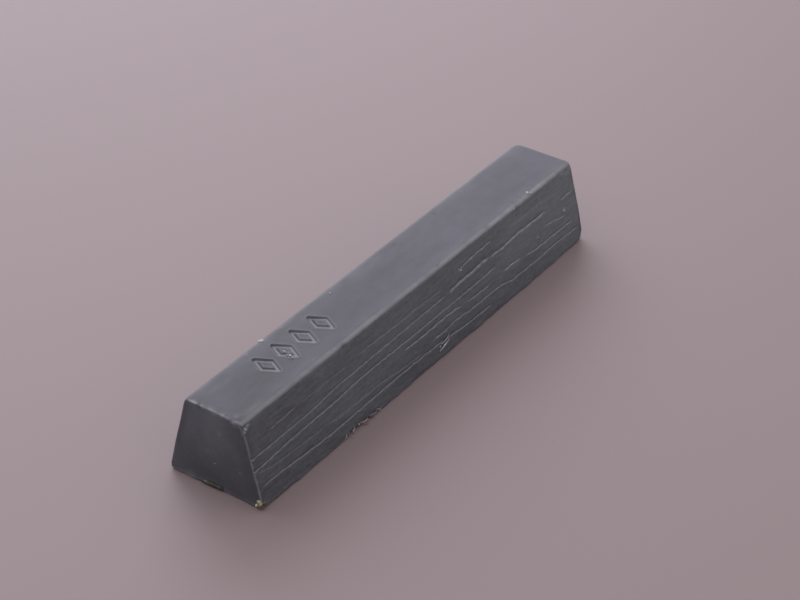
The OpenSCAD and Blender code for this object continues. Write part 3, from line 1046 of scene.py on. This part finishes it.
def bitMaterial(name, v):
    # The stops give the colour from the darkest bit to the palest; a fine grain breaks it up
    material, tree, shader = newMaterial(name, Roughness=v["roughness"], IOR=v["ior"])
    low, high = speckleLook["contrast"]
    coords = addNode(tree, "TexCoord").outputs["Object"]
    speckle = addNode(tree, "TexNoise", {
        "Vector": coords, "Scale": 1 / (v["grain"] * mm), "Detail": speckleLook["detail"]}).outputs["Fac"]
    shade = addNode(tree, "Attribute", attribute_name="shade").outputs["Fac"]
    drift = addNode(tree, "MapRange", {
        "Value": speckle, "From Min": low, "From Max": high,
        "To Min": -v["variation"], "To Max": v["variation"]}).outputs[0]
    mixed = addNode(tree, "Math", {0: shade, 1: drift}, operation="ADD", use_clamp=True).outputs[0]
    ramp = addNode(tree, "ValToRGB", {"Fac": mixed})
    elements = ramp.color_ramp.elements
    while len(elements) < len(v["stops"]):
        elements.new(0.5)
    for element, (position, colour) in zip(elements, v["stops"]):
        element.position = position
        element.color = toLinear(colour)
    tree.links.new(ramp.outputs["Color"], shader.inputs["Base Color"])
    bump = addNode(tree, "Bump", {"Height": speckle, "Distance": v["bump"] * mm}).outputs[0]
    tree.links.new(bump, shader.inputs["Normal"])
    return material


cornerCrumb = dict(
    firstSeed=10,
    grains=[  # place, size, turn, how pale
        ((-39.95, -7.23, 1.22), (0.5, 0.66, 0.44), 20, 0.76),
        ((-40.0, -6.92, 0.54), (0.45, 0.4, 0.5), 0, 1.0),
        ((-40.02, -7.6, 1.02), (0.5, 0.56, 0.6), -15, 0.6),
        ((-40.05, -7.13, 0.42), (0.4, 0.42, 0.28), 0, 0.03),
        ((-39.88, -7.98, 0.97), (0.42, 0.4, 0.4), 30, 0.06),
        ((-39.95, -7.58, 0.44), (0.5, 0.62, 0.34), 10, 0.18),
        ((-39.62, -7.74, 1.06), (0.5, 0.3, 0.24), 25, 0.38),
        ((-39.2, -7.71, 0.92), (0.7, 0.2, 0.22), 8, 0.33),
        ((-40.2, -7.46, 0.74), (0.2, 0.28, 0.36), 50, 0.66),
        ((-39.85, -7.86, 0.52), (0.34, 0.34, 0.42), 0, 0.34),
    ],
    stops=[(0.0, "#2c1f12"), (0.2, "#5c4833"), (0.4, "#7b7a70"), (0.6, "#9a9472"), (0.8, "#b3afa2"),
           (1.0, "#efe5da")],
    grain=0.16, bump=0.03, roughness=0.8, variation=0.18, ior=1.5,
)


def finishCrumb(v):
    # A crumb of wood: olive and grey fibres, cream where it broke, dark brown in places
    finishPiece(addGrains(v, v["grains"]), v, "cornerCrumb", "crumbledWood", "corner_crumb")


endSmear = dict(
    firstSeed=25, thickness=0.2,
    # The second strip is a dark skirt under the smear, standing for its shadow: painted shadow
    strips=[  # path, widths, facing, how pale: the smear, then the dirty skirt under it
        ([(-39.85, 2.4, 0.46), (-39.93, 1.6, 0.6), (-39.95, 1.1, 0.6), (-39.93, 0.2, 0.62),
          (-39.93, -0.6, 0.6), (-39.85, -1.35, 0.6)],
         (0.12, 0.34, 0.4, 0.5, 0.48, 0.2), (-1, 0, 0.1), (0.35, 0.95, 0.6, 0.42, 0.45, 0.35)),
        ([(-39.83, 2.5, 0.3), (-39.91, 1.7, 0.32), (-39.93, 0.6, 0.3), (-39.91, -0.6, 0.32),
          (-39.83, -1.4, 0.34)],
         (0.06, 0.26, 0.28, 0.22, 0.06), (-1, 0, -0.2), (0.2, 0.1, 0.15, 0.15, 0.1)),
    ],
    bits=[  # place, size, turn, how pale
        ((-40.04, 0.5, 0.74), (0.14, 0.42, 0.14), 0, 0.6),
        ((-40.04, -0.76, 0.74), (0.14, 0.62, 0.16), 0, 0.7),
    ],
    stops=[(0.0, "#2f2224"), (0.3, "#424541"), (0.6, "#575952"), (1.0, "#868881")],
    grain=0.3, bump=0.015, roughness=0.5, variation=0.12, ior=1.44,
)


def finishSmear(v):
    # A wipe of olive grey wax along the foot, thin enough to look dull, with a painted shadow under it
    parts = [addStrip(*strip, v["thickness"]) for strip in v["strips"]]
    finishPiece(parts + addGrains(v, v["bits"]), v, "endSmear", "smearedOliveWax", "end_smears")


baseFlakes = dict(
    firstSeed=30, thickness=0.05, crown=0.05,
    strips=[  # (along, down the slope, standing off) for each point, then widths and how pale
        ([(18.85, 12.1, -0.08), (18.4, 12.25, 0.2), (17.85, 12.42, 0.24)],
         (0.12, 0.32, 0.1), (0.7, 0.8, 0.65)),
        ([(19.05, 12.0, -0.08), (19.05, 12.4, 0.2), (19.22, 12.8, 0.34), (19.45, 13.0, 0.5)],
         (0.12, 0.1, 0.1, 0.14), (0.75, 0.6, 0.7, 0.9)),
        ([(20.5, 11.95, -0.08), (20.25, 12.15, 0.2), (19.85, 12.3, 0.26)],
         (0.2, 0.42, 0.16), (0.5, 0.7, 0.9)),
        ([(21.6, 12.1, -0.1), (22.3, 12.3, 0.22), (22.95, 12.3, 0.28), (23.3, 12.2, 0.12)],
         (0.14, 0.34, 0.36, 0.1), (0.45, 0.7, 0.72, 0.5)),
        ([(23.35, 12.2, 0.1), (23.3, 12.6, 0.28), (23.0, 12.85, 0.36), (22.4, 12.75, 0.3)],
         (0.08, 0.1, 0.1, 0.08), (0.5, 0.8, 0.6, 0.45)),
        ([(23.5, 12.05, -0.1), (24.3, 12.3, 0.26), (25.1, 12.38, 0.26), (25.7, 12.25, -0.06)],
         (0.14, 0.5, 0.42, 0.12), (0.25, 0.4, 0.42, 0.3)),
        ([(25.6, 12.15, -0.1), (26.1, 12.45, 0.26), (26.6, 12.3, -0.06)],
         (0.12, 0.34, 0.1), (0.6, 0.66, 0.6)),
    ],
    bits=[((19.8, 12.28, 0.3), 0.2, 1.0), ((21.4, 12.15, 0.12), 0.22, 1.0)],
    stops=[(0.0, "#38323a"), (0.35, "#6c6872"), (0.65, "#90868b"), (0.85, "#a59c9c"), (1.0, "#c9c8c2")],
    grain=0.25, bump=0.01, roughness=0.55, variation=0.1, ior=1.44,
)


def finishFlakes(v):
    # Paper-thin flash torn from the poured edge: it lets light through, so it looks pale and pinkish
    finishPiece(addSideParts(v), v, "baseFlakes", "thinWaxFlash", "base_flakes")


sideShaving = dict(
    firstSeed=50, thickness=0.1, crown=0.08,
    strips=[  # two torn ridges and the hollow between them, each as the flakes above
        ([(43.95, 10.35, -0.08), (43.4, 10.38, 0.1), (42.9, 10.52, 0.16), (42.35, 10.62, 0.18),
          (41.75, 10.68, -0.02)],
         (0.1, 0.2, 0.24, 0.24, 0.16), (0.5, 0.55, 0.62, 0.6, 0.62)),
        ([(43.7, 10.55, -0.08), (43.45, 10.8, 0.12), (43.0, 10.98, 0.2), (42.4, 11.02, 0.26),
          (41.95, 11.16, 0.24), (41.5, 11.36, 0.18), (41.15, 11.62, -0.06)],
         (0.1, 0.2, 0.22, 0.3, 0.34, 0.28, 0.14), (0.45, 0.6, 0.6, 0.66, 0.7, 0.66, 0.72)),
        ([(43.3, 10.65, -0.06), (42.7, 10.78, -0.03), (42.1, 10.86, -0.05)],
         (0.06, 0.18, 0.1), (0.3, 0.28, 0.3)),
    ],
    bits=[  # along, down the slope, standing off, then size and how pale
        ((42.18, 11.04, 0.3), 0.24, 1.0), ((41.3, 11.02, 0.06), 0.24, 0.66),
        ((41.48, 10.86, 0.08), 0.22, 0.62), ((41.78, 10.66, 0.12), 0.24, 0.7),
        ((42.0, 10.85, 0.06), 0.2, 0.4),
    ],
    stops=[(0.0, "#303136"), (0.5, "#828793"), (0.75, "#b6bbc9"), (1.0, "#eef2fb")],
    grain=0.2, bump=0.02, roughness=0.7, variation=0.1, ior=1.44,
)


def finishShaving(v):
    # A shaving lifted from the side, grey like scuffed wax, with pale torn edges
    finishPiece(addSideParts(v), v, "sideShaving", "scuffedWaxShaving", "side_shaving")


surfaceSpecks = dict(
    firstSeed=70, dustSeed=200, dustDraw=4,
    top=[  # along, in from the +Y edge, above the top, size, turn, how pale
        (16.22, 0.41, -0.07, (0.84, 0.32, 0.34), 55, 0.95),
        (16.45, 0.36, -0.05, (0.26, 0.24, 0.24), 25, 0.9),
        (30.6, 1.2, 0.04, (0.3, 0.3, 0.2), 25, 0.5), (68.35, 9.19, 0.08, (0.34, 0.4, 0.34), 25, 0.9),
        (68.69, 9.52, -0.02, (0.4, 0.32, 0.24), 25, 0.5),
    ],
    groove=[  # in and beside the second mark: along, in, size, turn, how pale
        (15.95, 4.48, (0.62, 0.26, 0.24), 90, 0.5), (15.57, 5.25, (0.3, 0.28, 0.26), 30, 0.5),
        (15.92, 5.2, (0.16, 0.16, 0.16), 0, 0.5), (15.7, 5.63, (0.38, 0.3, 0.3), 60, 0.85),
        (15.09, 5.83, (0.18, 0.18, 0.16), 0, 0.5), (15.36, 6.21, (0.24, 0.22, 0.2), 0, 0.4),
    ],
    grooveRise=0.3,  # how far a grain's middle lies above the wax, as a share of its height
    side=[  # along, down the slope, size, how pale
        (75.8, 6.27, 0.3, 0.6), (49.16, 2.73, 0.28, 0.7), (49.5, 2.5, 0.2, 0.5), (48.7, 2.4, 0.18, 0.5),
        (68.1, 7.5, 0.18, 0.35), (68.5, 7.25, 0.16, 0.35), (68.9, 7.6, 0.16, 0.35), (68.4, 8.0, 0.16, 0.3),
    ],
    sideRise=0.01,
    end=((-39.84, -0.01, 4.15), (0.14, 0.34, 0.24), 0.12),
    thread=([(-39.84, -3.89, 4.4), (-39.86, -4.29, 4.6), (-39.84, -4.69, 4.8)], (0.05, 0.14, 0.05)),
    threadShades=(0.0, 0.1, 0.0),
    dust=[(26, (67.0, 71.6), (8.3, 9.6)), (16, (63.8, 67.4), (8.9, 9.75))],  # how many, along, in
    dustSize=(0.06, 0.14), dustShade=(0.4, 0.75), dustSink=0.04,
    stops=[(0.0, "#5c5d64"), (0.35, "#9fa1ab"), (0.7, "#c8cddf"), (1.0, "#eaedf8")],
    grain=0.12, bump=0.02, roughness=0.85, variation=0.15, ior=1.5,
)


def edgeDrop(toEdge):
    # How far the rounding of a long top edge has fallen at this distance from the sharp edge
    reach = barShape["topSide"]
    radius = reach / math.tan((math.pi / 2 - sideLean) / 2)
    return radius - math.sqrt(radius ** 2 - max(reach - toEdge, 0) ** 2)


def finishSpecks(v):
    # Pale dust and wax crumbs: dull, pinkish white, the smallest gathered by the -Y top edge
    grains = []  # place, size, turn, how pale
    for along, inwards, rise, size, turn, shade in v["top"]:
        grains.append(((along - halfLength, halfTop - inwards, barHeight + rise), size, turn, shade))
    for along, inwards, size, turn, shade in v["groove"]:
        x, y = along - halfLength, halfTop - inwards
        sunk = markShape(np.array([x]), np.array([y]))[0][0]
        grains.append(((x, y, barHeight + sunk + size[2] * v["grooveRise"]), size, turn, shade))
    for along, down, size, shade in v["side"]:
        grains.append(roundGrain(onSide(along, down, v["sideRise"]), size, shade))
    place, size, shade = v["end"]
    grains.append((place, size, 0, shade))
    parts = addGrains(v, grains)
    path, widths = v["thread"]
    parts.append(addStrip(path, widths, (-1, 0, 0), v["threadShades"]))
    draw = random.Random(v["dustDraw"])
    for count, alongRange, inRange in v["dust"]:
        for i in range(count):
            size = draw.uniform(*v["dustSize"])
            x, inwards = draw.uniform(*alongRange) - halfLength, draw.uniform(*inRange)
            place = (x, halfTop - inwards, barHeight - v["dustSink"] - edgeDrop(2 * halfTop - inwards))
            grain = roundGrain(place, size, draw.uniform(*v["dustShade"]))
            parts.append(addGrain(*grain, seed=v["dustSeed"] + i))
    finishPiece(parts, v, "surfaceSpecks", "paleDust", "surface_specks")


finishBar()
finishCrumb(cornerCrumb)
finishSmear(endSmear)
finishFlakes(baseFlakes)
finishShaving(sideShaving)
finishSpecks(surfaceSpecks)
